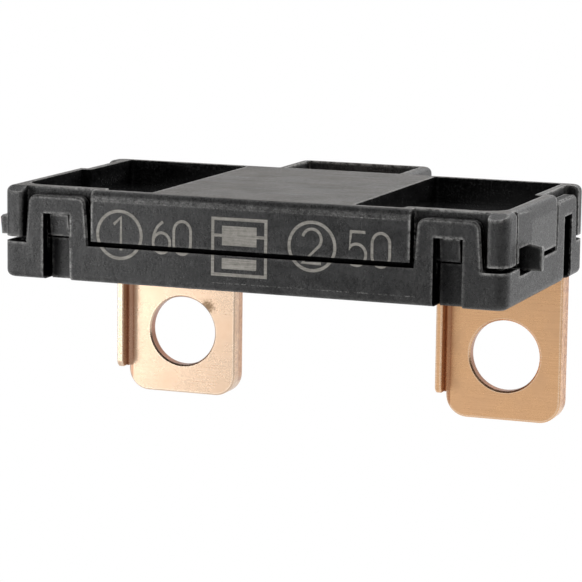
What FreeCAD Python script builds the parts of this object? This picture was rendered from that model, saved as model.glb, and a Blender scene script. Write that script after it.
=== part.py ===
"""Bolt-down twin fusible link.

A flat moulded housing in two halves, a tray below and a cover above, holds one
copper stamping. The stamping has a common land in the middle, two fusible
bridges with tin pellets, and two terminal tabs that hang down at the rear,
each with a bolt hole and a stiffening flange along its left edge. The cover
carries a snap barb at each of four places, and the tray a loop that catches it.

Millimetres. While it is modelled, X runs along the legend face from its left
end, Y runs back from that face, and Z runs up from the underside of the tray.
At the end everything moves so that the origin is the centre of the left bolt
hole, in the plane where the two leaves of its tab meet.
"""
import FreeCAD, Part
import math
import os

from FreeCAD import Vector

# Bolt tabs and the pitch of their holes, which the housing is built round
TAB_PITCH = 32.0
TAB_WIDTH = 10.9
TAB_INSET = 1.8
TAB_SHIFT = 0.85

# Housing
DEPTH = 24.8
HEIGHT = 8.15
CORNER_R = 1.1
TRAY_HEIGHT = 3.2
PARTING_GAP = 0.45
COVER_WALL = 1.05
COVER_FLOOR = 1.0
WELL_DEPTH = 2.25
TRAY_FLOOR = 1.0
BOTTOM_ROUND = 0.6
RIM_ROUND = 0.6
WELL_CORNER = 2.0
WELL_EDGE = 0.4

# Roof over the bridges, between the two wells
ROOF_SHARE = 0.4
ROOF_BACK_INSET = 0.5
ROOF_SKIN = 1.0

# Labyrinth between the halves: lip outside, skirt of the cover, tongue inside
LIP = 1.1
SKIRT_IN = 1.2
SKIRT = 0.9
SKIRT_DROP = 0.65
GROOVE_DEPTH = 0.7
TONGUE = 0.7
TONGUE_RISE = 1.0
FIT = 0.1

# Snap latches: a loop on the tray round a barb on the cover
LATCH_FROM_END = 5.2
LATCH_FROM_BACK = 5.4
LATCH_POCKET = 6.7
END_LATCH_EXTRA = 0.7
END_JOG_WALL = 0.65
POCKET_DEPTH = 1.2
LOOP_BASE = 6.1
LOOP_TOP_WIDTH = 5.4
LOOP_TOP = 7.5
LOOP_THICK = 1.0
LOOP_CORNER = 0.8
LOOP_EDGE = 0.15
WINDOW = 2.6
WINDOW_TOP = 5.9
WINDOW_DEPTH = 1.4
WINDOW_SLIT = 0.28
WINDOW_SLIT_DEPTH = 2.0
BARB = 1.75
BARB_REACH = 0.65
BARB_FOOT = 0.35
END_BARB_REACH = 0.45
END_BARB_FOOT = 0.25
BARB_TOP = 5.8
BARB_BOTTOM = 3.85
PAD_TOP = 3.6
PAD_GAP = 0.25

# Front corner columns, end panels and side keys of the cover
COLUMN_DEPTH = 2.6
COLUMN_GROOVE = 0.7
COLUMN_GROOVE_DEPTH = 0.4
COLUMN_BEVEL = 0.5
COLUMN_EDGE = 0.35
END_RECESS = 0.12
END_PANEL_FRONT = 7.5
PANEL_RIDGE = 0.06
PANEL_RIDGE_DROP = 0.65
PANEL_RIDGE_TALL = 0.15
KEY_OUT = 0.45
KEY_LONG = 1.3
KEY_FROM_FRONT = 0.45
KEY_BOTTOM = 3.8
KEY_TOP = 5.5
FIN_OUT = 1.07
FIN_THICK = 0.6
FIN_FRONT = 6.9
FIN_BOTTOM = 2.6
FIN_TOP = 4.9
FIN_SLOPE = 0.25
NICHE_FRONT = 3.8
NICHE_DEPTH = 1.5

# Bay behind the housing for the common blade
BAY_WIDTH = 13.4
BAY_DEPTH = 7.0

# Copper stamping
SHEET = 1.0
SHEET_BOTTOM = 1.9
TAB_DROP = 13.8
TAB_CORNER = 2.0
REAR_WALL = 1.0
HOLE_D = 6.6
HOLE_DROP = 7.8
HOLE_SHIFT = 0.1
REAR_HOLE_ROOM = 0.45
DIE_ROLL = 0.15
SEAM_EDGE = 0.1
FLANGE_OUT = 1.6
FLANGE_SHEET = 0.6
FLANGE_DROP = 11.5
FLANGE_TOP = 0.6
FLANGE_FILLET = 0.4
FLANGE_CORNER = 0.6
FLANGE_EDGE = 0.1
HEEL_R = 0.8
LAND_LONG = 11.0
LAND_MARGIN = 0.3
COMMON_SHARE = 0.43
BLADE_TOP = 7.0
BLADE_CHAMFER = 0.3
BEND_IN = 0.3

# Fusible bridges and their tin pellets
BRIDGE_WIDTH = 1.7
BRIDGE_SETBACK = 3.5
BRIDGE_MARGIN = 0.4
BRIDGE_BEND = 0.35
PELLET_LONG = 1.5
PELLET_HIGH = 0.8
PELLET_ROOM = 1.15

# Worked out from the above
LENGTH = TAB_PITCH + TAB_WIDTH + 2 * TAB_INSET
CENTRE = LENGTH / 2
ROOF_WIDTH = ROOF_SHARE * LENGTH
ROOF_LEFT = CENTRE - ROOF_WIDTH / 2
ROOF_RIGHT = CENTRE + ROOF_WIDTH / 2
ROOF_BACK = DEPTH - ROOF_BACK_INSET
LATCH_FROM_FRONT = DEPTH - LATCH_FROM_BACK
COVER_BOTTOM = TRAY_HEIGHT + PARTING_GAP
WELL_FLOOR = HEIGHT - WELL_DEPTH
TONGUE_OUTER = SKIRT_IN + SKIRT + FIT
TONGUE_INNER = TONGUE_OUTER + TONGUE
SKIRT_INNER = SKIRT_IN + SKIRT
SHEET_TOP = SHEET_BOTTOM + SHEET
TAB_THICK = 2 * SHEET
TAB_BACK = DEPTH - REAR_WALL
TAB_FRONT = TAB_BACK - TAB_THICK
TAB_SEAM = TAB_FRONT + SHEET
TAB_CENTRES = (CENTRE + TAB_SHIFT - TAB_PITCH / 2, CENTRE + TAB_SHIFT + TAB_PITCH / 2)
LAND_FRONT = TAB_FRONT - LAND_LONG
BAY_LEFT = CENTRE - BAY_WIDTH / 2
BAY_RIGHT = CENTRE + BAY_WIDTH / 2
BAY_BACK = DEPTH + BAY_DEPTH
BLADE_BACK = (ROOF_BACK + BAY_BACK - COVER_WALL + SHEET) / 2
COMMON_WIDTH = COMMON_SHARE * ROOF_WIDTH
BRIDGE_ROOM = ROOF_WIDTH / 2 - COVER_WALL - COMMON_WIDTH / 2
BRIDGE_TOP = HEIGHT - ROOF_SKIN - PELLET_ROOM - PELLET_HIGH
BRIDGE_SPAN = BRIDGE_ROOM - 2 * BRIDGE_MARGIN
BRIDGE_FROM_FRONT = LAND_FRONT + BRIDGE_SETBACK
BRIDGE_CENTRES = tuple(CENTRE + side * (COMMON_WIDTH + BRIDGE_ROOM) / 2 for side in (-1, 1))
FAR = 50.0


def block(x0, x1, y0, y1, z0, z1):
    """Box between two corners."""
    return Part.makeBox(x1 - x0, y1 - y0, z1 - z0, Vector(x0, y0, z0))


def edges_along(shape, axis, test):
    """Straight edges parallel to an axis whose midpoint passes a test."""
    found = []
    for edge in shape.Edges:
        if not isinstance(edge.Curve, Part.Line):
            continue
        direction = edge.Curve.Direction
        if abs(abs(direction.dot(axis)) - 1.0) > 1e-6:
            continue
        first, last = edge.Vertexes[0].Point, edge.Vertexes[-1].Point
        if test((first + last) * 0.5):
            found.append(edge)
    return found


def upright_rounded(solid, radius, test=lambda point: True):
    """The solid with the chosen upright edges rounded."""
    return solid.makeFillet(radius, edges_along(solid, Vector(0, 0, 1), test))


def rounded_block(inset, z0, z1, radius):
    """The housing's plan, inset all round, with rounded upright edges."""
    solid = block(inset, LENGTH - inset, inset, DEPTH - inset, z0, z1)
    return upright_rounded(solid, radius)


def prism(points, direction):
    """Extrude a closed polygon."""
    wire = Part.makePolygon([Vector(*point) for point in points + [points[0]]])
    return Part.Face(wire).extrude(direction)


def mirrored(solid):
    """The same solid at the other end of the housing."""
    return solid.mirror(Vector(LENGTH / 2, 0, 0), Vector(1, 0, 0))


def both_ends(solid):
    """A solid at the left end and its mirror image at the right."""
    return [solid, mirrored(solid)]


def turned_to_end(solid):
    """Carry a latch feature modelled at the front wall to the left end wall."""
    turned = solid.copy()
    turned.rotate(Vector(0, 0, 0), Vector(0, 0, 1), -90)
    turned.translate(Vector(0, LATCH_FROM_FRONT, 0))
    return turned


def at_four_latches(feature, end_feature=None):
    """Copies of a feature modelled about X = 0 at the front wall, one for each latch.

    The end latches can have a feature of their own; its +X side ends up nearest the front.
    """
    front = feature.copy()
    front.translate(Vector(LATCH_FROM_END, 0, 0))
    return both_ends(front) + both_ends(turned_to_end(end_feature or feature))


def latch_pocket(wider):
    """Upright pocket for one latch, cut from outside the wall, wider on one side."""
    half = LATCH_POCKET / 2
    return block(-half, half + wider, -FAR, POCKET_DEPTH, 0, FAR)


def latch_loop(wider):
    """Loop of one latch: a tapered plate with round top corners and an eased front edge."""
    base = LOOP_BASE / 2
    top = LOOP_TOP_WIDTH / 2
    root = TRAY_HEIGHT - 2 * LOOP_EDGE
    outline = [(-base, 0, root), (base + wider, 0, root), (top + wider, 0, LOOP_TOP), (-top, 0, LOOP_TOP)]
    plate = prism(outline, Vector(0, LOOP_THICK, 0))
    corners = edges_along(plate, Vector(0, 1, 0), lambda p: p.z > LOOP_TOP - FIT)
    plate = plate.makeFillet(LOOP_CORNER, corners)
    front = [edge for edge in plate.Edges if edge.BoundBox.YMax < FIT and edge.BoundBox.ZMax > root + FIT]
    return plate.makeChamfer(LOOP_EDGE, front)


def latch_window():
    """Upright slot between the legs of one loop, open at the bottom."""
    return block(-WINDOW / 2, WINDOW / 2, -FAR, WINDOW_DEPTH, -FAR, WINDOW_TOP)


def window_slit():
    """Shut-off slit down one side of the window, past the pad behind it."""
    edge = WINDOW / 2
    return block(-edge, WINDOW_SLIT - edge, -FAR, WINDOW_SLIT_DEPTH, -FAR, WINDOW_TOP)


def latch_barb(reach, foot):
    """Barb of one latch: square on top, drawing back towards its foot."""
    start = -BARB / 2
    profile = [(start, POCKET_DEPTH + FIT, BARB_TOP), (start, POCKET_DEPTH - reach, BARB_TOP),
               (start, POCKET_DEPTH - foot, BARB_BOTTOM),
               (start, POCKET_DEPTH + FIT, BARB_BOTTOM)]
    return prism(profile, Vector(BARB, 0, 0))


def cover_well():
    """Open well at the left end of the cover, following the jogs of its wall."""
    jog = POCKET_DEPTH + SKIRT
    latch_inner = LATCH_FROM_END + LATCH_POCKET / 2 + SKIRT
    latch_start = LATCH_FROM_FRONT - LATCH_POCKET / 2 - END_LATCH_EXTRA - SKIRT
    well = block(COVER_WALL, ROOF_LEFT, COVER_WALL, DEPTH - COVER_WALL, WELL_FLOOR, FAR)
    well = well.cut(block(0, latch_inner, 0, jog, 0, FAR * 2))
    well = well.cut(block(0, POCKET_DEPTH + END_JOG_WALL, latch_start, DEPTH, 0, FAR * 2)).removeSplitter()
    well = upright_rounded(well, WELL_CORNER, lambda p: p.x < jog and p.y < jog + FIT)
    return upright_rounded(well, WELL_EDGE, lambda p: p.x > POCKET_DEPTH)


def end_niche():
    """Niche in the left end wall, in front of the locating fin."""
    return block(-FAR, NICHE_DEPTH, NICHE_FRONT, FIN_FRONT, COVER_BOTTOM - FIT, FIN_TOP)


def end_fin():
    """Upright locating fin on the left end wall, its top falling outwards."""
    profile = [(SKIRT_IN + FIT, FIN_FRONT, FIN_BOTTOM), (-FIN_OUT, FIN_FRONT, FIN_BOTTOM),
               (-FIN_OUT, FIN_FRONT, FIN_TOP - FIN_SLOPE),
               (0, FIN_FRONT, FIN_TOP), (SKIRT_IN + FIT, FIN_FRONT, FIN_TOP)]
    return prism(profile, Vector(0, FIN_THICK, 0))


def fin_slot():
    """Slot in the tray's lip that the locating fin drops into."""
    return block(-FAR, SKIRT_IN, NICHE_FRONT, FIN_FRONT + FIN_THICK + FIT, TRAY_HEIGHT - GROOVE_DEPTH, FAR)


def corner_key():
    """Small key on the left front column, thinner towards its foot."""
    profile = [(CORNER_R, KEY_FROM_FRONT, KEY_BOTTOM), (-KEY_OUT * 0.7, KEY_FROM_FRONT, KEY_BOTTOM),
               (-KEY_OUT, KEY_FROM_FRONT, KEY_TOP - KEY_OUT / 2),
               (-KEY_OUT / 2, KEY_FROM_FRONT, KEY_TOP), (CORNER_R, KEY_FROM_FRONT, KEY_TOP)]
    return prism(profile, Vector(0, KEY_LONG, 0))


def column_bevel():
    """Wedge that slopes the top of the left front column down to the front."""
    profile = [(-FAR, -FIT, HEIGHT + FIT), (-FAR, -FIT, HEIGHT - COLUMN_BEVEL),
               (-FAR, 0, HEIGHT - COLUMN_BEVEL), (-FAR, POCKET_DEPTH, HEIGHT),
               (-FAR, POCKET_DEPTH, HEIGHT + FIT)]
    return prism(profile, Vector(FAR + LATCH_FROM_END - LATCH_POCKET / 2, 0, 0))


def make_cover():
    """Upper half of the housing."""
    outer = rounded_block(0, COVER_BOTTOM, HEIGHT, CORNER_R)
    outer = outer.makeFillet(RIM_ROUND, [edge for edge in outer.Edges if edge.BoundBox.ZMin > HEIGHT - FIT])
    bay = block(BAY_LEFT, BAY_RIGHT, DEPTH - CORNER_R, BAY_BACK, COVER_BOTTOM, HEIGHT)
    bay = upright_rounded(bay, CORNER_R, lambda p: p.y > DEPTH)
    bay_rim = [edge for edge in bay.Edges if edge.BoundBox.ZMin > HEIGHT - FIT and edge.BoundBox.YMax > DEPTH]
    cover = outer.fuse(bay.makeFillet(RIM_ROUND, bay_rim))
    for pocket in at_four_latches(latch_pocket(0), latch_pocket(END_LATCH_EXTRA)):
        cover = cover.cut(pocket)
    recess = prism([(-FAR, COLUMN_DEPTH, 0), (END_RECESS, COLUMN_DEPTH, 0), (0, END_PANEL_FRONT, 0),
                    (-FAR, END_PANEL_FRONT, 0)], Vector(0, 0, FAR))
    groove = block(-FAR, COLUMN_GROOVE_DEPTH, COLUMN_DEPTH, COLUMN_DEPTH + COLUMN_GROOVE, 0, FAR)
    for cutter in both_ends(recess) + both_ends(groove) + both_ends(end_niche()) + both_ends(column_bevel()):
        cover = cover.cut(cutter)
    skirt = rounded_block(SKIRT_IN, COVER_BOTTOM - SKIRT_DROP, COVER_BOTTOM + FIT, CORNER_R / 2)
    bay_skirt = block(BAY_LEFT + SKIRT_IN, BAY_RIGHT - SKIRT_IN, DEPTH - SKIRT_INNER,
                      BAY_BACK - SKIRT_IN, COVER_BOTTOM - SKIRT_DROP, COVER_BOTTOM + FIT)
    cover = cover.fuse([skirt, bay_skirt])
    inside = block(SKIRT_INNER, LENGTH - SKIRT_INNER, SKIRT_INNER, DEPTH - SKIRT_INNER,
                   -FAR, WELL_FLOOR - COVER_FLOOR)
    under_roof = block(ROOF_LEFT + COVER_WALL, ROOF_RIGHT - COVER_WALL, SKIRT_INNER,
                       ROOF_BACK - COVER_WALL, -FAR, HEIGHT - ROOF_SKIN)
    well_start = BAY_LEFT + COVER_WALL
    well_end = BAY_RIGHT - COVER_WALL
    bay_well = block(well_start, well_end, ROOF_BACK, BAY_BACK - COVER_WALL, -FAR, FAR)
    bay_gate = block(well_start, well_end, DEPTH - SKIRT_INNER - FIT, ROOF_BACK + FIT, -FAR, COVER_BOTTOM)
    well = cover_well()
    for cutter in [inside, under_roof, bay_well, bay_gate] + both_ends(well):
        cover = cover.cut(cutter)
    clear_of_pad = block(-WINDOW, WINDOW, 0, SKIRT_INNER + FIT, -FAR, PAD_TOP + PAD_GAP)
    for cutter in at_four_latches(clear_of_pad):
        cover = cover.cut(cutter)
    ridge_top = HEIGHT - PANEL_RIDGE_DROP
    ridge_start = LATCH_FROM_END + LATCH_POCKET / 2
    ridge = block(ridge_start, LENGTH - ridge_start, -PANEL_RIDGE, FIT, ridge_top - PANEL_RIDGE_TALL, ridge_top)
    barbs = at_four_latches(latch_barb(BARB_REACH, BARB_FOOT), latch_barb(END_BARB_REACH, END_BARB_FOOT))
    cover = cover.fuse(barbs + both_ends(end_fin()) + [corner_key(), ridge]).removeSplitter()
    column_side = LATCH_FROM_END - LATCH_POCKET / 2
    soft = edges_along(cover, Vector(0, 0, 1),
                       lambda p: abs(p.y) < 1e-6 and abs(abs(p.x - CENTRE) - CENTRE + column_side) < 1e-6)
    return cover.makeFillet(COLUMN_EDGE, soft)


def make_tray():
    """Lower half of the housing, with the four loops."""
    outer = rounded_block(0, 0, TRAY_HEIGHT, CORNER_R)
    outer = outer.makeFillet(BOTTOM_ROUND, [edge for edge in outer.Edges if edge.BoundBox.ZMax < FIT])
    bay = block(BAY_LEFT, BAY_RIGHT, DEPTH - CORNER_R, BAY_BACK, 0, TRAY_HEIGHT)
    bay = upright_rounded(bay, CORNER_R, lambda p: p.y > DEPTH)
    tray = outer.fuse(bay)
    groove_floor = TRAY_HEIGHT - GROOVE_DEPTH
    groove = rounded_block(LIP, groove_floor, FAR, CORNER_R / 2)
    bay_groove = block(BAY_LEFT + LIP, BAY_RIGHT - LIP, DEPTH - TONGUE_OUTER, BAY_BACK - LIP, groove_floor, FAR)
    cavity = block(TONGUE_INNER, LENGTH - TONGUE_INNER, TONGUE_INNER, DEPTH - TONGUE_INNER, TRAY_FLOOR, FAR)
    bay_cavity = block(BAY_LEFT + TONGUE_OUTER, BAY_RIGHT - TONGUE_OUTER, DEPTH - TONGUE_INNER - FIT,
                       BAY_BACK - TONGUE_OUTER, TRAY_FLOOR, FAR)
    for cutter in (groove, bay_groove, cavity, bay_cavity):
        tray = tray.cut(cutter)
    tongue = block(TONGUE_OUTER, LENGTH - TONGUE_OUTER, TONGUE_OUTER, TAB_FRONT - COVER_WALL,
                   groove_floor - FIT, TRAY_HEIGHT + TONGUE_RISE)
    tongue = tongue.cut(block(TONGUE_INNER, LENGTH - TONGUE_INNER, TONGUE_INNER, FAR, 0, FAR))
    pads = at_four_latches(block(-WINDOW * 0.85, WINDOW * 0.85, WINDOW_DEPTH, TONGUE_OUTER + FIT,
                                 groove_floor - FIT, PAD_TOP))
    tray = tray.fuse([tongue] + pads + at_four_latches(latch_loop(0), latch_loop(END_LATCH_EXTRA)))
    slit = window_slit()
    slits = at_four_latches(slit) + at_four_latches(slit.mirror(Vector(0, 0, 0), Vector(1, 0, 0)))
    for cutter in at_four_latches(latch_window()) + slits + both_ends(fin_slot()):
        tray = tray.cut(cutter)
    for centre in TAB_CENTRES:
        half = TAB_WIDTH / 2 + FIT
        tray = tray.cut(block(centre - half, centre + half, TAB_FRONT - FIT, TAB_BACK, -FAR, FAR))
    half = COMMON_WIDTH / 2 + FIT
    passage = block(CENTRE - half, CENTRE + half, TONGUE_INNER, BLADE_BACK + FIT, SHEET_BOTTOM, FAR)
    tray = tray.cut(passage)
    return tray.fuse(make_supports()).removeSplitter()


def make_supports():
    """Ribs on the tray floor that carry the copper lands."""
    rib = COVER_WALL
    floor = TRAY_FLOOR - FIT
    supports = []
    for centre in TAB_CENTRES:
        for y in (LAND_FRONT + rib, TAB_FRONT - 3 * rib):
            supports.append(block(centre - TAB_WIDTH / 4, centre + TAB_WIDTH / 4, y, y + rib, floor, SHEET_BOTTOM))
    for x in (CENTRE - COMMON_WIDTH / 4, CENTRE + COMMON_WIDTH / 4):
        supports.append(block(x - rib / 2, x + rib / 2, LAND_FRONT + rib, TAB_FRONT, floor, SHEET_BOTTOM))
        supports.append(block(x - rib / 2, x + rib / 2, DEPTH, BLADE_BACK, floor, SHEET_BOTTOM))
    return supports


def leaf(centre, front, back, hole_r, front_edge, hole_edge):
    """One leaf of a tab, with its front outline and the rim of its hole eased."""
    left = centre - TAB_WIDTH / 2
    right = centre + TAB_WIDTH / 2
    plate = block(left, right, front, back, -TAB_DROP, SHEET_TOP)
    plate = plate.makeFillet(TAB_CORNER, edges_along(plate, Vector(0, 1, 0), lambda p: p.z < 0))
    outline = [edge for edge in plate.Edges
               if abs(edge.BoundBox.YMax - front) < 1e-6 and edge.BoundBox.ZMin < SHEET_BOTTOM]
    plate = plate.makeChamfer(front_edge, outline)
    hole = Part.makeCylinder(hole_r, 2 * TAB_THICK, Vector(centre + HOLE_SHIFT, front - SHEET, -HOLE_DROP),
                             Vector(0, 1, 0))
    plate = plate.cut(hole)
    if hole_edge:
        rim = [edge for edge in plate.Edges
               if isinstance(edge.Curve, Part.Circle) and abs(edge.Curve.Radius - hole_r) < 1e-6
               and abs(edge.Curve.Center.y - front) < 1e-6]
        plate = plate.makeChamfer(hole_edge, rim)
    return plate


def make_flange(left):
    """Stiffening flange bent forward outside the left edge of a tab."""
    flange = block(left - FLANGE_SHEET, left, TAB_FRONT - FLANGE_OUT, TAB_SEAM, -FLANGE_DROP, -FLANGE_TOP)
    corners = edges_along(flange, Vector(1, 0, 0), lambda p: p.y < TAB_FRONT)
    flange = flange.makeFillet(FLANGE_CORNER, corners)
    heel = edges_along(flange, Vector(0, 0, 1), lambda p: p.x < left and p.y > TAB_FRONT)
    flange = flange.makeFillet(FLANGE_SHEET / 2, heel)
    front = edges_along(flange, Vector(0, 0, 1), lambda p: p.y < TAB_FRONT)
    flange = flange.makeChamfer(FLANGE_EDGE, front)
    bend = block(left, left + FLANGE_FILLET, TAB_FRONT - FLANGE_FILLET, TAB_FRONT + DIE_ROLL,
                 -FLANGE_DROP, -FLANGE_TOP)
    scoop = Part.makeCylinder(FLANGE_FILLET, FAR,
                              Vector(left + FLANGE_FILLET, TAB_FRONT - FLANGE_FILLET, -FAR))
    return [flange, bend.cut(scoop)]


def make_tab(centre):
    """One terminal tab: two leaves, a round hole, and a flange on the left."""
    front_leaf = leaf(centre, TAB_FRONT, TAB_SEAM, HOLE_D / 2, DIE_ROLL, DIE_ROLL)
    rear_leaf = leaf(centre, TAB_SEAM, TAB_BACK, HOLE_D / 2 + REAR_HOLE_ROOM, SEAM_EDGE, 0)
    tab = front_leaf.fuse(rear_leaf).removeSplitter()
    outer_bend = edges_along(tab, Vector(1, 0, 0), lambda p: p.z > SHEET_BOTTOM and p.y > TAB_BACK - FIT)
    return tab.makeFillet(HEEL_R, outer_bend).fuse(make_flange(centre - TAB_WIDTH / 2))


def make_bridge(centre, left, right):
    """One fusible bridge between two lands, humped up into the roof."""
    y0 = BRIDGE_FROM_FRONT
    y1 = BRIDGE_FROM_FRONT + BRIDGE_WIDTH
    outer0 = centre - BRIDGE_SPAN / 2
    outer1 = centre + BRIDGE_SPAN / 2
    crown = BRIDGE_TOP
    strip = block(left, right, y0, y1, SHEET_BOTTOM, SHEET_TOP)
    strip = strip.fuse(block(outer0, outer1, y0, y1, SHEET_BOTTOM, crown))
    strip = strip.cut(block(outer0 + SHEET, outer1 - SHEET, y0, y1, -FAR, crown - SHEET)).removeSplitter()
    bends = edges_along(strip, Vector(0, 1, 0), lambda p: outer0 - FIT < p.x < outer1 + FIT)
    return strip.makeFillet(BRIDGE_BEND, bends)


def make_conductor():
    """The whole copper stamping."""
    common_left = CENTRE - COMMON_WIDTH / 2
    common_right = CENTRE + COMMON_WIDTH / 2
    land = block(common_left, common_right, LAND_FRONT, BLADE_BACK, SHEET_BOTTOM, SHEET_TOP)
    blade = block(common_left, common_right, BLADE_BACK - SHEET, BLADE_BACK, SHEET_BOTTOM, BLADE_TOP)
    tip = edges_along(blade, Vector(1, 0, 0), lambda p: p.z > SHEET_TOP)
    blade = blade.makeChamfer(BLADE_CHAMFER, tip)
    common = land.fuse(blade).removeSplitter()
    heel = edges_along(common, Vector(1, 0, 0), lambda p: p.y > BLADE_BACK - FIT and p.z < SHEET_TOP)
    common = common.makeFillet(SHEET, heel)
    inner = edges_along(common, Vector(1, 0, 0),
                        lambda p: abs(p.y - BLADE_BACK + SHEET) < 1e-6 and abs(p.z - SHEET_TOP) < 1e-6)
    common = common.makeFillet(BEND_IN, inner)
    pieces = [common]
    land_left = TONGUE_INNER + LAND_MARGIN
    land_right = LENGTH - TONGUE_INNER - LAND_MARGIN
    for centre in TAB_CENTRES:
        start = max(centre - TAB_WIDTH / 2, land_left)
        end = min(centre + TAB_WIDTH / 2, land_right)
        pieces.append(block(start, end, LAND_FRONT, TAB_SEAM, SHEET_BOTTOM, SHEET_TOP))
        pieces.append(make_tab(centre))
    first, second = TAB_CENTRES
    half = TAB_WIDTH / 2
    pieces.append(make_bridge(BRIDGE_CENTRES[0], first + half, common_left))
    pieces.append(make_bridge(BRIDGE_CENTRES[1], common_right, second - half))
    return pieces[0].fuse(pieces[1:]).removeSplitter()


def make_pellet(centre):
    """Tin pellet seated on the crown of one bridge."""
    base = BRIDGE_TOP
    pellet = block(centre - PELLET_LONG / 2, centre + PELLET_LONG / 2, BRIDGE_FROM_FRONT,
                   BRIDGE_FROM_FRONT + BRIDGE_WIDTH, base, base + PELLET_HIGH)
    top = [edge for edge in pellet.Edges if edge.BoundBox.ZMin > base + PELLET_HIGH / 2]
    return pellet.makeFillet(PELLET_HIGH / 3, top)


def export(name, shape):
    """Move a piece into the row's frame and write it."""
    placed = shape.copy()
    placed.translate(Vector(-(TAB_CENTRES[0] + HOLE_SHIFT), -TAB_SEAM, HOLE_DROP))
    if not placed.isValid():
        raise ValueError(name + " is not a valid solid")
    box = placed.BoundBox
    print(name, len(placed.Solids), "solid, volume", round(placed.Volume, 1), "mm3, box",
          [round(v, 2) for v in (box.XMin, box.XMax, box.YMin, box.YMax, box.ZMin, box.ZMax)])
    placed.exportStep(os.path.join("parts", name + ".step"))


os.makedirs("parts", exist_ok=True)
export("cover", make_cover())
export("tray", make_tray())
export("conductor", make_conductor())
for number, bridge_centre in enumerate(BRIDGE_CENTRES, start=1):
    export("tin_pellet_%d" % number, make_pellet(bridge_centre))
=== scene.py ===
# %% [markdown]
# A bolt-down twin fuse, dressed for the picture
#
# The frame holds the real shapes: a two-part moulded housing, one copper stamping with
# two bolt tabs, and two small pellets of tin inside. This lesson gives them their
# finishes, adds the light grey legend, and sets up the light and the camera.

import itertools
import math

import bpy
import bmesh
from mathutils import Matrix, Vector


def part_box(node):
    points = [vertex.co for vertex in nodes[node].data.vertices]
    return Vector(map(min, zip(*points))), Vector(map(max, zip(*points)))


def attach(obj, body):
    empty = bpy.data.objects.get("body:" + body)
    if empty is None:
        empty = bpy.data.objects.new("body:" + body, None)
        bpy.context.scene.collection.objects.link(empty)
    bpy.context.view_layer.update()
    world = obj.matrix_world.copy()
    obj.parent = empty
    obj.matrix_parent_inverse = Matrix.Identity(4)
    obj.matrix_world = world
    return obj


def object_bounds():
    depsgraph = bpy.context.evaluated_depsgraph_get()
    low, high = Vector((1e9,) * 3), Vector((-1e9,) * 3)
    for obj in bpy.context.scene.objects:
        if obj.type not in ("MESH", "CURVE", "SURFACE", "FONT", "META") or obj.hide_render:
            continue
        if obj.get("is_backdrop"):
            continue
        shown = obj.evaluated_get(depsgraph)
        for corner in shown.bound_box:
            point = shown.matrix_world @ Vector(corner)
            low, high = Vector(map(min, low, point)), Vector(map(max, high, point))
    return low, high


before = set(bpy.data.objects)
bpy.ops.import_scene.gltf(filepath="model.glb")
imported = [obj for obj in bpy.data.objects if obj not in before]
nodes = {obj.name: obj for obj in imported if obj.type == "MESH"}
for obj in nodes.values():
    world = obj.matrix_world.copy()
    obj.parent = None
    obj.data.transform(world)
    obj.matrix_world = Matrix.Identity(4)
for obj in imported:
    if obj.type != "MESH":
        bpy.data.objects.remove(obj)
print("nodes:", ", ".join(sorted(nodes)))

# %% The size of the part, before anything is added
low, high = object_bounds()
print("size in mm:", [round(1000 * (b - a), 2) for a, b in zip(low, high)])

# %% [markdown]
# Measuring from the housing
#
# Every place on the part is easier to name from the housing's own front left bottom
# corner, in millimetres: x along the legend face, y into the part, z up. The tray is the
# lower half of the housing, so the low corner of its box is that corner.

# %% A place on the housing
MM = 0.001
corner = Vector(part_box("tray")[0])


def place(x, y, z):
    """A point in metres, from millimetres measured on the housing."""
    return corner + Vector((x, y, z)) * MM


length = (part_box("tray")[1][0] - corner.x) / MM
height = (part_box("cover")[1][2] - corner.z) / MM
print("housing length and height in mm:", round(length, 2), round(height, 2))

# %% [markdown]
# A small language for finishes
#
# A finish is a graph of nodes, and long graphs are hard to read as code. A wrapper round
# each socket lets ordinary arithmetic build the Math nodes, so a formula in the script
# looks like the formula on paper. Everything that isn't arithmetic goes through one
# method, node(), which sets the node's settings first and its sockets afterwards.

# %% Arithmetic on sockets


class Signal:
    """A socket of a finish, with arithmetic."""

    def __init__(self, finish, socket):
        self.finish = finish
        self.socket = socket

    def _math(self, operation, *values, clamp=False):
        settings = {"operation": operation, "use_clamp": clamp}
        return self.finish.node("ShaderNodeMath", settings, dict(enumerate(values)))

    def __add__(self, other):
        return self._math("ADD", self, other)

    __radd__ = __add__

    def __sub__(self, other):
        return self._math("SUBTRACT", self, other)

    def __rsub__(self, other):
        return self._math("SUBTRACT", other, self)

    def __mul__(self, other):
        return self._math("MULTIPLY", self, other)

    __rmul__ = __mul__

    def clamped(self):
        """The same signal, held between 0 and 1."""
        return self._math("ADD", self, 0.0, clamp=True)


print("signals can be added, subtracted, multiplied and clamped")

# %% A finish and its nodes


class Finish:
    """A material and the nodes that make it."""

    def __init__(self, name):
        self.material = bpy.data.materials.new(name)
        self.material.use_nodes = True
        self.tree = self.material.node_tree
        self.tree.nodes.clear()
        self.output = self.tree.nodes.new("ShaderNodeOutputMaterial")

    def node(self, kind, settings=None, inputs=None, out=0):
        """Adds one node: its settings first, then its sockets, then one of its outputs."""
        made = self.tree.nodes.new(kind)
        for key, value in (settings or {}).items():
            if key == "ramp":
                self._ramp(made.color_ramp, value)
            else:
                setattr(made, key, value)
        for key, value in (inputs or {}).items():
            if isinstance(value, Signal):
                self.tree.links.new(value.socket, made.inputs[key])
            else:
                made.inputs[key].default_value = value
        return Signal(self, made.outputs[out])

    def _ramp(self, curve, stops):
        while len(curve.elements) < len(stops):
            curve.elements.new(0.5)
        for element, (stop, level) in zip(curve.elements, stops):
            element.position = stop
            element.color = (level, level, level, 1.0)

    def surface(self, shader):
        """Makes a shader the surface of this finish."""
        self.tree.links.new(shader.socket, self.output.inputs["Surface"])
        return self.material


print("a finish makes every node with node()")

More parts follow.
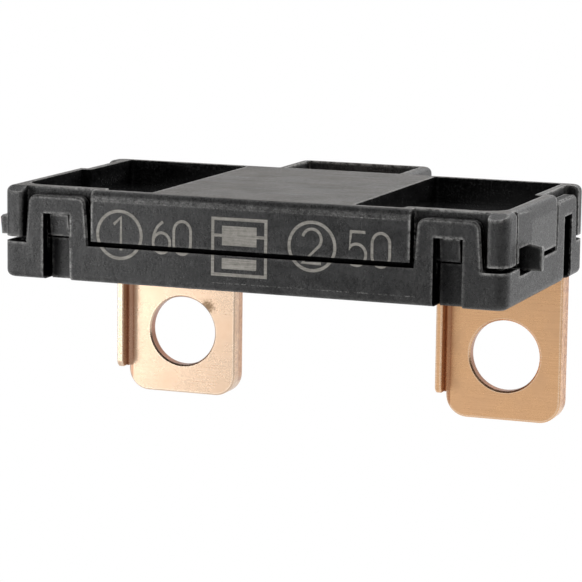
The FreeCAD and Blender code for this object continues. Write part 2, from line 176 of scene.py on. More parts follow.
# %% [markdown]
# Places on the surface
#
# The patterns are laid out in the part's own metres, so they stay put when the camera
# moves. Object coordinates give those metres, because the frame's nodes all sit at the
# origin. Some places look different for reasons that no general rule finds, such as the
# smooth wells or the scuffed ends. They could be painted in an image, which needs an
# unwrapped mesh. A box in the housing's millimetres does it in one line and stays sharp.

# %% Where a point of the surface is


def position(finish):
    """The point on the surface, in millimetres."""
    raw = finish.node("ShaderNodeTexCoord", out="Object")
    return finish.node("ShaderNodeVectorMath", {"operation": "SCALE"}, {0: raw, "Scale": 1 / MM})


def on_housing(finish, point):
    """x, y and z on the housing, in millimetres, as three signals."""
    made = [finish.node("ShaderNodeSeparateXYZ", {}, {"Vector": point}, out=axis) for axis in "XYZ"]
    return [signal - value / MM for signal, value in zip(made, corner)]


print("places are in millimetres")

# %% Zones


def between(value, start, end, slope=0.05):
    """1 from start to end and 0 outside, with a short slope at both ends."""
    return ((value - start) * (1 / slope)).clamped() * ((end - value) * (1 / slope)).clamped()


def zone(here, x=None, y=None, z=None):
    """1 inside a box; each range is (start, end) or (start, end, slope)."""
    ranges = zip(here, (x, y, z))
    first, *others = [between(value, *span) for value, span in ranges if span]
    return math.prod(others, start=first)


def zones(here, *weighted):
    """Several boxes added up, each with its own strength."""
    return sum(zone(here, **box) * strength for box, strength in weighted)


print("zones are boxes with soft ends")

# %% [markdown]
# Grain
#
# Real surfaces drift: one noise in the colour and another in the gloss are enough for the
# eye. Stretching the place before a noise texture turns round grain into lines, and a
# ramp turns the soft noise into patches with an edge.

# %% Noise


def stretched(finish, point, x, y, z):
    """The point with each axis scaled, to stretch a pattern along an axis."""
    return finish.node("ShaderNodeVectorMath", {"operation": "MULTIPLY"}, {0: point, 1: (x, y, z)})


def grain(finish, point, scale, detail=3.0, rough=0.5):
    """Noise around 0.5, scale features to a millimetre."""
    inputs = {"Vector": point, "Scale": scale, "Detail": detail, "Roughness": rough}
    return finish.node("ShaderNodeTexNoise", {}, inputs)


def ramp(finish, signal, *stops):
    """A curve through (input, output) stops."""
    return finish.node("ShaderNodeValToRGB", {"ramp": stops}, {"Fac": signal})


def drift(level, *weighted):
    """A level pushed up and down by some noises, each with its own strength."""
    for noise, strength in weighted:
        level = (noise - 0.5) * strength + level
    return level


print("noise can be stretched, ramped and added up")

# %% Colours


def colour(r, g, b):
    return (r, g, b, 1.0)


def blend(finish, factor, first, second):
    """A colour between two colours."""
    inputs = {"Factor": factor, "A": first, "B": second}
    return finish.node("ShaderNodeMix", {"data_type": "RGBA"}, inputs, out=2)


def darkened(finish, shade, level):
    """A colour times a signal."""
    return finish.node("ShaderNodeVectorMath", {"operation": "SCALE"}, {0: shade, "Scale": level})


print("colours can be blended and darkened")

# %% [markdown]
# Edges and corners
#
# Handling rubs edges pale, and a painted highlight goes on them too; gaps and corners
# get painted shade. Both could be painted by hand, but two nodes find such places on any
# mesh. Bevel bends the normal near an edge, and Ambient Occlusion tells how much open
# space a point can see.

# %% Where the edges are
EDGE_GAIN = 12.0


def edge_mask(finish, radius):
    """Near 1 along edges: there the rounded normal turns away from the flat one."""
    rounded = finish.node("ShaderNodeBevel", {"samples": 6}, {"Radius": radius * MM})
    flat = finish.node("ShaderNodeNewGeometry", out="Normal")
    inputs = {0: rounded, 1: flat}
    facing = finish.node("ShaderNodeVectorMath", {"operation": "DOT_PRODUCT"}, inputs, out="Value")
    return ((1.0 - facing) * EDGE_GAIN).clamped()


print("edge mask ready")

# %% How shut in a place is


def shade_in_recesses(finish, reach, *stops):
    """Where shade is painted: high in gaps and corners and 0 on open faces, by stops; reach is in
    millimetres.
    """
    settings = {"samples": 8}
    seen = finish.node("ShaderNodeAmbientOcclusion", settings, {"Distance": reach * MM}, out="AO")
    return ramp(finish, seen, *stops)


print("recess mask ready")

# %% [markdown]
# Black moulded plastic
#
# The housing is a black glass-filled nylon: dark and satin, with a fine spark-eroded
# texture, paler flow marks and a brushed roof, whose paler, warm colour is partly a
# painted sheen. Flat black looks dead, so the colour drifts a little, the gloss drifts
# more, and a shallow bump breaks up the highlights. A Principled shader with no metal does
# this, and pale marks go on the edges, partly where hands and tools have rubbed and partly
# as painted highlights. The wells are darkened with painted shade. A second, black shader
# with no sheen paints shade into the gaps and slots, on the end wall and, in patches, at
# the front.

# %% Places on the housing
# Painted shade darkens the wells, the end wall outside its panel and patches at the front.
WELLS = {"x": (1.0, 45.25), "y": (1.3, 23.8), "z": (5.6, 8.12)}
ROOF = {"z": (8.1, 9.0)}
END_WALL = {"x": (46.2, 47.0)}
END_PANEL = {"x": (46.3, 47.0), "y": (7.3, 15.2, 0.25), "z": (3.65, 7.0, 0.3)}
SHADED_FRONT = {"x": (13.5, 47.0, 10.0), "y": (-1.0, 0.6)}
SCUFFED_LEFT = {"x": (-1.0, 7.0, 3.0)}
SCUFFED_RIGHT = {"x": (37.0, 43.0, 1.5), "y": (-1.0, 1.0)}
print("places of the plain faces named")

# %% Painted shade in gaps and slots
IN_FRONT_SLOTS = {"y": (0.04, 2.5), "z": (-1.0, 5.92)}
LEFT_SLOT = {"x": (3.85, 6.5), **IN_FRONT_SLOTS}
LEFT_SLOT_LIT = 5.15
RIGHT_SLOT_EDGE = {"x": (39.95, 40.06), **IN_FRONT_SLOTS}
RIGHT_SLOT = {"x": (40.0, 42.6), **IN_FRONT_SLOTS}
END_SLOT_SIDE = {"x": (45.3, 46.46), "y": (20.6, 20.8), "z": (-1.0, 5.92)}


def painted_gap_shade(finish, here):
    """Painted shade: 1 deep in gaps and on the sides of the slots; in the left slot it fades to the
    right.
    """
    recess = shade_in_recesses(finish, 3.0, (0.25, 1.0), (0.64, 0.0))
    left_slot = zone(here, **LEFT_SLOT) * ((LEFT_SLOT_LIT - here[0]) * 0.85).clamped()
    others = zones(here, (RIGHT_SLOT_EDGE, 1.0), (RIGHT_SLOT, 0.35), (END_SLOT_SIDE, 1.0))
    return (recess + left_slot + others).clamped()


print("dark gaps ready")

# %% Rubbed edges and painted highlights
AT_FRONT = (-0.2, 0.8)
# Painted highlight lines run along the label, the foot and the front edge of the roof.
LABEL_EDGE = {"x": (2.0, 36.0), "y": AT_FRONT, "z": (7.18, 7.30)}
LABEL_EDGE_END = {"x": (31.5, 37.0, 1.0), "y": AT_FRONT, "z": (7.18, 7.30)}
FOOT_EDGE = {"x": (20.0, 38.8), "y": AT_FRONT, "z": (0.72, 0.86)}
ROOF_EDGE = {"x": (37.5, 46.0), "y": AT_FRONT, "z": (8.34, 8.62)}
CALM_PARTING = {"x": (6.5, 38.6), "z": (2.9, 3.95)}
CALM_LEFT = {"x": (-1.0, 6.5)}
CALM_RIGHT = {"x": (39.4, 43.0), "z": (-1.0, 5.75)}


def rubbed_and_highlit_edges(finish, point, here):
    """1 where an edge is rubbed pale with a painted highlight, and along painted highlight lines, in
    broken pieces; some places stay calmer.
    """
    chipped = ramp(finish, grain(finish, point, 1.8, 6.0, 0.85), (0.42, 0.10), (0.56, 1.0))
    broken = ramp(finish, grain(finish, point, 3.2, 5.0, 0.9), (0.50, 0.0), (0.58, 1.0))
    calm = zones(here, (CALM_PARTING, 0.85), (CALM_LEFT, 0.45), (CALM_RIGHT, 0.7))
    lines = zones(here, (LABEL_EDGE, 0.7), (LABEL_EDGE_END, 1.0), (FOOT_EDGE, 1.0), (ROOF_EDGE, 1.5))
    # Edges get rubbed wear and a painted highlight; the lines are painted highlight only.
    edges = edge_mask(finish, 0.45) * chipped * (1.0 - calm)
    return (edges + lines * broken * 0.6).clamped()


print("rubbed edges ready")

# %% Pale marks


def pale_marks_and_highlights(finish, point, here, worn_and_highlit, panel):
    """How much of the pale colour shows: rubbed wear and painted highlight on edges, scratches, dust.
    """
    scratches = grain(finish, stretched(finish, point, 1.0, 1.0, 0.3), 1.6, 6.0, 0.7)
    rub = ramp(finish, scratches, (0.48, 0.0), (0.72, 1.0))
    scuffed = zones(here, (SCUFFED_LEFT, 0.06), (SCUFFED_RIGHT, 0.05)) + 0.05
    dust = ramp(finish, grain(finish, point, 6.0, 3.0, 0.8), (0.60, 0.0), (0.72, 1.0))
    marks = (rub * scuffed + worn_and_highlit * 0.95 + dust * 0.13 + panel * 0.04).clamped()
    return marks, dust


print("pale marks ready")

# %% Where shade is painted on the plastic


def painted_shade_places(finish, point, here, worn_and_highlit, well, panel):
    """How far the painted shade takes over: in gaps, on the end wall and in patches at the front."""
    # Painted shade: patches across the front, the end wall outside its panel, and the gaps.
    cloud = grain(finish, stretched(finish, point, 0.6, 1.0, 1.0), 0.7, 5.0, 0.7)
    front_shade = zone(here, **SHADED_FRONT) * ramp(finish, cloud, (0.40, 0.40), (0.62, 0.08))
    end_wall = zone(here, **END_WALL) * (1.0 - panel)
    gaps = painted_gap_shade(finish, here) * (1.0 - worn_and_highlit * 0.75) * (1.0 - well * 0.8)
    return (gaps + end_wall * 0.12 + front_shade).clamped()


print("matt places ready")

# %% Grain of the plastic


def plastic_grain(finish, point):
    """Five noises: the fine texture, specks, flow marks, upright streaks and brushed lines."""
    fine = grain(finish, point, 4.5, 5.0, 0.7)
    speck = grain(finish, point, 14.0, 2.0)
    flow = grain(finish, stretched(finish, point, 0.25, 0.25, 0.9), 0.9, 4.0)
    streak = grain(finish, stretched(finish, point, 1.0, 1.0, 0.15), 6.0, 3.0, 0.6)
    brush = grain(finish, stretched(finish, point, 0.10, 1.0, 1.0), 1.3, 6.0, 0.8)
    return fine, speck, flow, streak, brush


print("plastic grain ready")

# %% Plastic for the two halves
# The pale roof colour is partly a painted sheen, the rubbed colour also paints edge highlights, and
# the near black paints shade.
ROOF_DARK = colour(0.008, 0.006, 0.004)
ROOF_PALE_SHEEN = colour(0.105, 0.089, 0.074)
RUBBED_AND_HIGHLIGHT = colour(0.42, 0.414, 0.402)
PAINTED_SHADE_BLACK = colour(0.0012, 0.0012, 0.0016)
PLASTIC_IOR = 1.42
PLASTIC_BUMP = 0.00016


def moulded_plastic(name, dark, pale, gloss):
    """Black plastic: two near blacks, and how rough it is."""
    finish = Finish(name)
    point = position(finish)
    here = on_housing(finish, point)
    well, roof, panel = [zone(here, **box) for box in (WELLS, ROOF, END_PANEL)]
    outside = 1.0 - well
    fine, speck, flow, streak, brush = plastic_grain(finish, point)
    worn_and_highlit = rubbed_and_highlit_edges(finish, point, here)
    marks, dust = pale_marks_and_highlights(finish, point, here, worn_and_highlit, panel)

    tone = drift(0.42, (fine, 3.2), (flow, 1.8), (streak, 1.6)).clamped()
    # The roof: brushed lines, with a paler warm colour that is partly a painted sheen.
    brushed = blend(finish, drift(0.5, (brush, 4.0)).clamped(), ROOF_DARK, ROOF_PALE_SHEEN)
    base = blend(finish, roof * 0.75, blend(finish, tone, dark, pale), brushed)
    # Painted shade: the wells are darkened to six tenths.
    base = darkened(finish, base, outside * 0.4 + 0.6)
    base = blend(finish, marks * (outside * 0.95 + 0.05), base, RUBBED_AND_HIGHLIGHT)

    rough = drift(gloss, (fine, 0.60), (flow, 0.30)) + roof * drift(0.10, (brush, 0.8))
    rough = (rough + dust * 0.1 - well * 0.15).clamped()
    relief = (fine * 0.75 + speck * 0.25) * (outside * 0.9 + 0.1)
    inputs = {"Strength": 0.6, "Distance": PLASTIC_BUMP, "Height": relief}
    bump = finish.node("ShaderNodeBump", {}, inputs)
    inputs = {"Base Color": base, "Roughness": rough, "Normal": bump, "IOR": PLASTIC_IOR}
    plastic = finish.node("ShaderNodeBsdfPrincipled", {}, inputs)
    # A black diffuse shader, mixed in where shade is painted.
    shade_black = finish.node("ShaderNodeBsdfDiffuse", {}, {"Color": PAINTED_SHADE_BLACK})
    shade_amount = painted_shade_places(finish, point, here, worn_and_highlit, well, panel)
    return finish.surface(finish.node("ShaderNodeMixShader", {}, {0: shade_amount, 1: plastic, 2: shade_black}))


print("plastic ready")

# %% The cover is a little paler than the tray
COVER_DARK = colour(0.0010, 0.0010, 0.0013)
COVER_PALE = colour(0.021, 0.021, 0.0215)
TRAY_DARK = colour(0.0008, 0.0008, 0.0011)
TRAY_PALE = colour(0.015, 0.015, 0.0155)
cover_plastic = moulded_plastic("cover_plastic", COVER_DARK, COVER_PALE, gloss=0.31)
tray_plastic = moulded_plastic("tray_plastic", TRAY_DARK, TRAY_PALE, gloss=0.30)
print("made", cover_plastic.name, "and", tray_plastic.name)

# %% [markdown]
# Rolled copper sheet
#
# The tabs are punched from rolled copper. Rolling leaves fine straight lines, here along
# x, punching leaves torn sides, and handling leaves faint stains. A metal's colour is the
# colour of its reflection, so the faces stay pale. The corners, the walls of the bolt
# holes, the insides of the flanges and a side of the rear leaf get brown painted shade,
# the punched sides are brown where the metal tore, and the edges get a painted highlight.
# The left end of the sheet is smoother; as painted light, it is paler and the right end
# browner.

# %% Places on a tab
TAB_PITCH = 32.0
BETWEEN_TABS = 20.0
HOLE_X = 8.2
HOLE_Z = -7.8
HOLE_WALL = (2.0, 3.32, 0.02)
FLANGE_INSIDE = {"x": (2.62, 3.10), "y": (20.24, 21.90)}
REAR_LEAF_SIDE = {"x": (13.4, 14.0), "y": (22.75, 24.0)}
TAB_SIDE = {"x": (13.50, 14.2, 0.1)}
SMEAR_AT = (2.55, -1.0, 2.50)


def on_tab(here):
    """The same place with the right tab moved on to the left one, so that they share zones."""
    x, y, z = here
    return x - ((x - BETWEEN_TABS) * 20.0).clamped() * TAB_PITCH, y, z


def hole_wall(finish, tab):
    """1 on the wall of the bolt hole."""
    inputs = {"X": tab[0] - HOLE_X, "Y": tab[2] - HOLE_Z, "Z": 0.0}
    across = finish.node("ShaderNodeCombineXYZ", {}, inputs)
    from_hole = finish.node("ShaderNodeVectorMath", {"operation": "LENGTH"}, {0: across}, out="Value")
    return between(from_hole, *HOLE_WALL)


print("places on the tabs named")

# %% The faces of the sheet
# Painted light: the left tab's copper is paler, the right tab's browner.
LIT_LEFT_COPPER = (colour(0.59, 0.429, 0.308), colour(0.695, 0.523, 0.390))
SHADED_RIGHT_COPPER = (colour(0.55, 0.315, 0.16), colour(0.83, 0.495, 0.268))
STAINED = colour(0.50, 0.31, 0.19)


def face_colour(finish, here, line, stain):
    """Painted light: paler at the left end and browner at the right; and a little stained."""
    rightward = ((here[0] - 15.0) * 0.05).clamped()
    at_left = blend(finish, line, *LIT_LEFT_COPPER)
    at_right = blend(finish, line, *SHADED_RIGHT_COPPER)
    return blend(finish, stain * 0.35, blend(finish, rightward, at_left, at_right), STAINED)


print("faces of the copper ready")

# %% Painted shade and punched sides
SHADE_BROWN = colour(0.25, 0.075, 0.032)
PUNCHED = (colour(0.30, 0.10, 0.04), colour(0.88, 0.50, 0.25))


def painted_shade_on_copper(finish, tab, left):
    """Painted shade, as brown: in corners, on the wall of a bolt hole, inside the flanges and on a
    side of the rear leaf.
    """
    corners = shade_in_recesses(finish, 2.2, (0.45, 0.9), (0.70, 0.0))
    wall = hole_wall(finish, tab) * (left * 0.06 + 0.80)
    sides = zones(tab, (FLANGE_INSIDE, 0.58), (REAR_LEAF_SIDE, 0.45))
    return (corners + wall + sides).clamped() * 0.95


def punched_colour(finish, point):
    """The side of the sheet: smooth where the punch cut, and brown where the metal tore."""
    tear = grain(finish, stretched(finish, point, 1.0, 1.0, 0.6), 3.0, 4.0, 0.8)
    return blend(finish, ramp(finish, tear, (0.46, 0.0), (0.56, 1.0)), *PUNCHED)


print("brown places and punched sides ready")

# %% A small dark smear


def smear(finish, point, fine):
    """1 in a small dark smear on the front leaf, with a ragged edge."""
    inputs = {0: point, 1: SMEAR_AT}
    apart = finish.node("ShaderNodeVectorMath", {"operation": "DISTANCE"}, inputs, out="Value")
    return ramp(finish, drift(apart * 0.5, (fine, 0.8)), (0.16, 0.85), (0.42, 0.0))


print("smear ready")

# %% Copper
# The first colour is a painted highlight for the copper edges.
PAINTED_HIGHLIGHT = colour(1.0, 0.86, 0.70)
SMEARED = colour(0.13, 0.08, 0.04)
COPPER_BUMP = 0.00004


def rolled_copper():
    finish = Finish("rolled_copper")
    point = position(finish)
    here = on_housing(finish, point)
    tab = on_tab(here)
    left = (BETWEEN_TABS - here[0]).clamped()
    line = grain(finish, stretched(finish, point, 0.06, 1.0, 6.0), 3.0, 5.0, 0.7)
    fine = grain(finish, point, 5.0, 4.0, 0.6)
    stain = ramp(finish, grain(finish, point, 0.32, 4.0, 0.6), (0.42, 0.0), (0.75, 1.0))

    # Painted shade: corners, hole walls, flange insides and a side of the rear leaf turn brown.
    brown = painted_shade_on_copper(finish, tab, left)
    base = blend(finish, brown, face_colour(finish, here, line, stain), SHADE_BROWN)
    side = zone(tab, **TAB_SIDE)
    base = blend(finish, side * (0.9 - left * 0.35), base, punched_colour(finish, point))
    # A painted highlight along the edges, weaker on the punched sides and in shade.
    bright = edge_mask(finish, 0.22) * (1.0 - brown) * (1.0 - side * 0.7)
    base = blend(finish, bright * ramp(finish, line, (0.35, 0.3), (0.60, 0.8)), base, PAINTED_HIGHLIGHT)
    base = blend(finish, smear(finish, point, fine), base, SMEARED)

    rough = (drift(0.26, (line, 0.25 - left * 0.13), (fine, 0.08)) + stain * 0.08).clamped()
    inputs = {"Strength": 0.25, "Distance": COPPER_BUMP, "Height": line * (1.0 - left * 0.6)}
    bump = finish.node("ShaderNodeBump", {}, inputs)
    inputs = {"Base Color": base, "Roughness": rough, "Normal": bump, "Metallic": 1.0}
    return finish.surface(finish.node("ShaderNodeBsdfPrincipled", {}, inputs))


copper = rolled_copper()
print("made", copper.name)

# %% [markdown]
# Tin
#
# Tin is a dull silver metal, and the pellets are cast, so they get a rough bright grey.

# %% Tin
TIN_DARK = colour(0.55, 0.55, 0.54)
TIN_PALE = colour(0.75, 0.75, 0.73)


def cast_tin():
    finish = Finish("cast_tin")
    point = position(finish)
    cloud = grain(finish, point, 2.0)
    base = blend(finish, cloud, TIN_DARK, TIN_PALE)
    inputs = {"Base Color": base, "Roughness": (0.35 + cloud * 0.2).clamped(), "Metallic": 1.0}
    return finish.surface(finish.node("ShaderNodeBsdfPrincipled", {}, inputs))


tin = cast_tin()
print("made", tin.name)

# %% Give each node its finish
finishes = {
    "cover": cover_plastic,
    "tray": tray_plastic,
    "conductor": copper,
    "tin_pellet_1": tin,
    "tin_pellet_2": tin,
}
for name, material in finishes.items():
    for material_slot in nodes[name].material_slots:
        material_slot.material = material
print("finishes:", {name: material.name for name, material in finishes.items()})

# %% [markdown]
# The legend
#
# The rating and the circuit numbers are laser marked on the front, and the marks run
# across the parting gap on to the tray. A text object would need a font, so each mark is
# drawn as a ribbon of constant width along a line, laid a hundredth of a millimetre in
# front of the plastic. The ribbons are cut where the gap is, so that nothing crosses the
# open space, and each lies a touch in front of the last, so that no two share a plane.

# %% Points on an arc


def arc(cx, cz, rx, rz, start, end, steps=28):
    """Points on an ellipse, angles in degrees, counter-clockwise from the right."""
    angles = [math.radians(start + (end - start) * i / steps) for i in range(steps + 1)]
    return [(cx + rx * math.cos(a), cz + rz * math.sin(a)) for a in angles]


print("an arc has", len(arc(0, 0, 1, 1, 0, 360)), "points")

# %% Ribbons along a line
MARK_LIFT = 0.012
LIFT_STEP = 0.0008
TOUCHING = 1e-6
NO_LENGTH = 1e-9
SHARPEST = 0.5
WIDEST = 1.6
lifts = itertools.count(MARK_LIFT + LIFT_STEP, LIFT_STEP)


def direction_at(before, here, after):
    """The way the line runs at a point, and how much wider a ribbon gets in the bend."""
    first = Vector((here[0] - before[0], here[1] - before[1]))
    second = Vector((after[0] - here[0], after[1] - here[1]))
    first = first.normalized() if first.length > NO_LENGTH else second.normalized()
    second = second.normalized() if second.length > NO_LENGTH else first
    tangent = (first + second).normalized()
    return tangent, min(1.0 / max(abs(tangent.dot(second)), SHARPEST), WIDEST)


def ribbon(mesh, points, width):
    """Adds a flat ribbon along (x, z) points; each lies a touch in front of the last."""
    lift = next(lifts)
    closed = math.dist(points[0], points[-1]) < TOUCHING
    before_first, after_last = (points[-2], points[1]) if closed else (points[0], points[-1])
    rows = []
    for before, (x, z), after in zip([before_first, *points], points, [*points[1:], after_last]):
        tangent, wider = direction_at(before, (x, z), after)
        side = Vector((-tangent.y, tangent.x)) * (width / 2 * wider)
        rows.append([mesh.verts.new(place(x + s * side.x, -lift, z + s * side.y)) for s in (1, -1)])
    for (a, b), (c, d) in zip(rows, rows[1:]):
        mesh.faces.new((a, b, d, c))


print("the first ribbon lies", MARK_LIFT + LIFT_STEP, "mm in front of the plastic")

# %% [markdown]
# Digits
#
# Each digit is one or two lines made of arcs and corners. It stands in a box, with its
# left bottom corner at x and z, its width w and its height h, and the numbers below are
# shares of that width and height.

# %% Digits drawn as lines and arcs


def digit_six(x, z, w, h):
    """A bowl, and a back that leans over it."""
    bowl = h * 0.31
    r = w / 2
    loop = arc(x + r, z + bowl, r, bowl, 0, 360)
    back = arc(x + r * 1.9, z + bowl * 1.05, r * 1.9, h - bowl * 1.05, 180, 112, 16)
    return [loop, back]


def digit_zero(x, z, w, h):
    """Two half rounds with straight sides."""
    r = w / 2
    top = arc(x + r, z + h - r * 1.15, r, r * 1.15, 0, 180, 20)
    foot = arc(x + r, z + r * 1.15, r, r * 1.15, 180, 360, 20)
    return [top + foot + [top[0]]]


def digit_five(x, z, w, h):
    """A flag and a stem that run into an open bowl."""
    r = w / 2
    bowl = h * 0.32
    turn = arc(x + r * 0.92, z + bowl, r * 1.08, bowl, 140, -150, 28)
    top = [(x + w * 0.95, z + h), (x + w * 0.14, z + h), (x + w * 0.06, z + bowl * 1.55)]
    return [top + turn[1:]]


def digit_one(x, z, w, h):
    """A short flag and a stem."""
    return [[(x, z + h * 0.78), (x + w * 0.6, z + h), (x + w * 0.6, z)]]


def digit_two(x, z, w, h):
    """A round head, a slope and a foot."""
    r = w / 2
    head = arc(x + r, z + h - r * 1.05, r, r * 1.05, 165, -35, 20)
    return [head + [(x, z), (x + w, z)]]


print("digits ready: 0 1 2 5 6")

# %% [markdown]
# Laser marked grey
#
# A laser foams the plastic to a pale, dry grey and leaves fine scan lines. The mark is
# matt, and the scan lines are a gentle change of tone across z.

# %% The mark's finish
MARK_DARK = colour(0.15, 0.143, 0.128)
MARK_PALE = colour(0.37, 0.352, 0.322)


def laser_mark():
    finish = Finish("laser_mark")
    point = position(finish)
    scan = grain(finish, stretched(finish, point, 0.3, 1.0, 7.0), 1.6)
    blotch = grain(finish, point, 3.0, 4.0, 0.7)
    base = blend(finish, drift(0.5, (scan, 1.4), (blotch, 1.2)).clamped(), MARK_DARK, MARK_PALE)
    inputs = {"Base Color": base, "Roughness": 0.8, "Specular IOR Level": 0.3}
    return finish.surface(finish.node("ShaderNodeBsdfPrincipled", {}, inputs))


mark_grey = laser_mark()
print("made", mark_grey.name)

# %% Lay out the marks
RING_RADIUS = 2.08
RING_CENTRES = ((11.29, 4.41), (29.21, 4.50))
OUTLINE_STROKE = 0.28
DIGIT_STROKE = 0.25
DIGITS = (
    (digit_one, 10.75, 3.05, 1.15, 2.9),
    (digit_two, 28.35, 3.05, 1.7, 2.95),
    (digit_six, 14.50, 3.05, 1.58, 2.88),
    (digit_zero, 16.45, 3.05, 1.58, 2.88),
    (digit_five, 32.50, 3.12, 1.58, 2.88),
    (digit_zero, 34.62, 3.12, 1.58, 2.88),
)
marks = bmesh.new()
for ring_x, ring_z in RING_CENTRES:
    ribbon(marks, arc(ring_x, ring_z, RING_RADIUS, RING_RADIUS, 0, 360, 56), OUTLINE_STROKE)
for shape, *box in DIGITS:
    for line in shape(*box):
        ribbon(marks, line, DIGIT_STROKE)
print("marks drawn:", len(marks.faces), "faces")

# %% [markdown]
# A symbol between the ratings
#
# Between the two ratings stands a square with a plain sign for a fuse: a filled box with
# a lead at each side, and a bar under it on the tray. Straight shapes need no ribbon, so
# four filled rectangles make the sign, inside a ribbon that draws the square.

# %% The square and the fuse symbol
SQUARE = (20.1, 1.55, 25.0, 6.4)
SYMBOL_MID = 4.95
BOX_INSET = 0.85
BOX_HALF = 0.85
LEAD_HALF = 0.13
LEAD_INSET = 0.14
BAR_LIFT = 0.5
GAP_LOW = 3.2
GAP_HIGH = 3.65
GAP_MARGIN = 0.2


def bar(mesh, x0, z0, x1, z1):
    """A filled rectangle of mark."""
    corners = [(x0, z0), (x1, z0), (x1, z1), (x0, z1)]
    mesh.faces.new([mesh.verts.new(place(x, -MARK_LIFT, z)) for x, z in corners])


x0, z0, x1, z1 = SQUARE
box_left = x0 + BOX_INSET
box_right = x1 - BOX_INSET
ribbon(marks, [(x0, z0), (x1, z0), (x1, z1), (x0, z1), (x0, z0)], OUTLINE_STROKE)
bar(marks, box_left, SYMBOL_MID - BOX_HALF, box_right, SYMBOL_MID + BOX_HALF)
bar(marks, x0 + LEAD_INSET, SYMBOL_MID - LEAD_HALF, box_left, SYMBOL_MID + LEAD_HALF)
bar(marks, box_right, SYMBOL_MID - LEAD_HALF, x1 - LEAD_INSET, SYMBOL_MID + LEAD_HALF)
bar(marks, box_left, z0 + BAR_LIFT, box_right, GAP_LOW - GAP_MARGIN)
print("symbol drawn")

# %% Cut the marks at the parting gap
for level in (GAP_LOW, GAP_HIGH):
    everything = marks.verts[:] + marks.edges[:] + marks.faces[:]
    bmesh.ops.bisect_plane(marks, geom=everything, plane_co=place(0, 0, level), plane_no=(0, 0, 1))
gap_faces = [face for face in marks.faces
             if place(0, 0, GAP_LOW).z < face.calc_center_median().z < place(0, 0, GAP_HIGH).z]
print("faces over the gap:", len(gap_faces))
bmesh.ops.delete(marks, geom=gap_faces, context="FACES")
for face in marks.faces:
    if face.normal.y > 0:
        face.normal_flip()

# %% The legend as one piece
legend_mesh = bpy.data.meshes.new("legend")
marks.to_mesh(legend_mesh)
marks.free()
legend = bpy.data.objects.new("legend", legend_mesh)
bpy.context.scene.collection.objects.link(legend)
legend.data.materials.append(mark_grey)
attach(legend, "root")
print("legend:", len(legend_mesh.polygons), "faces")

# %% [markdown]
# The floor
#
# The part is photographed in the white, with nothing under it, as it hangs when bolted
# up. The floor lies well below the tabs, so its shadow falls low and soft. To the camera
# it glows plain white, by Light Path, and metal sees it partly glowing.

# %% Floor
FLOOR_DROP = 0.030
FLOOR_SIZE = 6.0
MIRRORED_GLOW = 0.5
WHITE = colour(1.0, 1.0, 1.0)
WHITE_PAINT = colour(0.9, 0.9, 0.9)


def white_floor():
    finish = Finish("white_floor")
    seen = finish.node("ShaderNodeLightPath", out="Is Camera Ray")
    mirrored = finish.node("ShaderNodeLightPath", out="Is Glossy Ray")
    glowing = (seen + mirrored * MIRRORED_GLOW).clamped()
    paint = finish.node("ShaderNodeBsdfDiffuse", {}, {"Color": WHITE_PAINT})
    glow = finish.node("ShaderNodeEmission", {}, {"Color": WHITE, "Strength": 1.0})
    return finish.surface(finish.node("ShaderNodeMixShader", {}, {0: glowing, 1: paint, 2: glow}))


bpy.ops.mesh.primitive_plane_add(size=FLOOR_SIZE, location=(0, 0, low.z - FLOOR_DROP))
floor = bpy.context.object
floor.name = "floor"
floor.data.materials.append(white_floor())
floor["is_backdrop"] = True
print("floor at z =", round(floor.location.z * 1000, 1), "mm")

# %% [markdown]
# The sky of the studio
#
# Metal and satin plastic show what stands round them. This studio is bright nearly all
# round, but dark at the front right, and it dims overhead. So the sky fades in those two
# directions, which gives the copper its dark sides and keeps the brushed roof from going
# pale. The camera itself sees plain white.

# %% World
DARK_SIDE = (0.89, -0.45, 0.10)
OVERHEAD = (0.0, 0.0, 1.0)
world = bpy.data.worlds.new("studio")
bpy.context.scene.world = world
world.use_nodes = True


class Sky(Finish):
    """The same node maker, for a world."""

    def __init__(self, studio):
        self.tree = studio.node_tree
        self.tree.nodes.clear()
        self.output = self.tree.nodes.new("ShaderNodeOutputWorld")


def toward(sky, way):
    """1 where the sky lies that way, 0 at right angles to it."""
    inputs = {0: sky.node("ShaderNodeTexCoord", out="Generated"), 1: way}
    return sky.node("ShaderNodeVectorMath", {"operation": "DOT_PRODUCT"}, inputs, out="Value")


sky = Sky(world)
studio_level = ramp(sky, toward(sky, DARK_SIDE), (0.34, 0.80), (0.92, 0.06))
studio_level = studio_level * ramp(sky, toward(sky, OVERHEAD), (0.35, 1.0), (0.95, 0.45))
direct = sky.node("ShaderNodeLightPath", out="Is Camera Ray")
strength = direct + (1.0 - direct) * studio_level
background = sky.node("ShaderNodeBackground", {}, {"Color": WHITE, "Strength": strength})
sky.tree.links.new(background.socket, sky.output.inputs["Surface"])
print("sky is white to the camera")

# %% [markdown]
# Lamps
#
# Two soft boxes stand behind the part: a large one high up for the satin on the roof,
# and one at the right that lights the end wall. A small weak card stands close by at the
# left front. It lights the left end only, because a near light falls off fast.

# %% Soft boxes
middle = (low + high) / 2


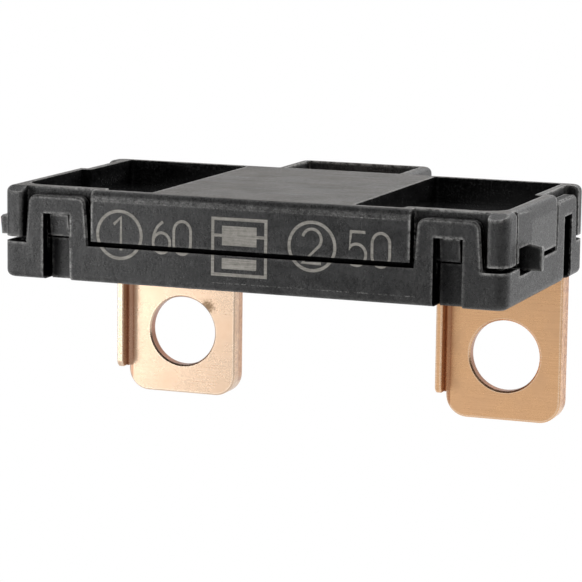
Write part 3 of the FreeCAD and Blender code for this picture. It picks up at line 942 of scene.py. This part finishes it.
def soft_box(name, azimuth, elevation, distance, size, power):
    """A square area lamp that points at the part. Azimuth 0 is in front, 90 at the right."""
    a = math.radians(azimuth)
    e = math.radians(elevation)
    way = Vector((math.sin(a) * math.cos(e), -math.cos(a) * math.cos(e), math.sin(e)))
    data = bpy.data.lights.new(name, "AREA")
    data.size = size
    data.energy = power
    lamp = bpy.data.objects.new(name, data)
    lamp.visible_camera = False
    lamp.location = middle + way * distance
    lamp.rotation_mode = "QUATERNION"
    lamp.rotation_quaternion = way.to_track_quat("Z", "Y")
    bpy.context.scene.collection.objects.link(lamp)
    return lamp


lamps = [
    soft_box("top_box", azimuth=160, elevation=55, distance=0.40, size=0.30, power=1.1),
    soft_box("right_box", azimuth=120, elevation=20, distance=0.35, size=0.20, power=0.5),
    soft_box("left_card", azimuth=-48, elevation=-2, distance=0.15, size=0.07, power=0.095),
]
print("lamps:", [lamp.name for lamp in lamps])

# %% [markdown]
# The camera
#
# The camera stands where the photograph was taken from: about twenty degrees to the
# right of the legend face and nine degrees above it, far away with a long lens, so the
# part's lines stay nearly parallel.

# %% Which way the camera looks
AZIMUTH = math.radians(20.4868)
ELEVATION = math.radians(9.0656)
ROLL = math.radians(-0.7412)
forward = Vector((-math.sin(AZIMUTH) * math.cos(ELEVATION), math.cos(AZIMUTH) * math.cos(ELEVATION),
                  -math.sin(ELEVATION)))
level_right = Vector((math.cos(AZIMUTH), math.sin(AZIMUTH), 0.0))
level_up = level_right.cross(forward)
right = math.cos(ROLL) * level_right - math.sin(ROLL) * level_up
up = math.sin(ROLL) * level_right + math.cos(ROLL) * level_up
print("the camera looks along", [round(value, 3) for value in forward])

# %% Camera
FOCAL_PIXELS = 2781.74
PICTURE = 582
SENSOR = 36.0
CAMERA_AT = (109.65, -220.25, 38.05)
NEAREST = 0.01
FARTHEST = 20.0
camera_data = bpy.data.cameras.new("camera")
camera_data.sensor_width = SENSOR
camera_data.lens = FOCAL_PIXELS * SENSOR / PICTURE
camera_data.clip_start = NEAREST
camera_data.clip_end = FARTHEST
camera = bpy.data.objects.new("camera", camera_data)
camera_turn = Matrix((right, up, -forward)).transposed().to_4x4()
camera.matrix_world = Matrix.Translation(place(*CAMERA_AT)) @ camera_turn
bpy.context.scene.collection.objects.link(camera)
bpy.context.scene.camera = camera
bpy.context.scene.view_settings.view_transform = "Standard"
print("lens in mm:", round(camera_data.lens, 1))

# %% The size of the part, with the legend added
low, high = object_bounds()
print("size in mm:", [round(1000 * (b - a), 2) for a, b in zip(low, high)])
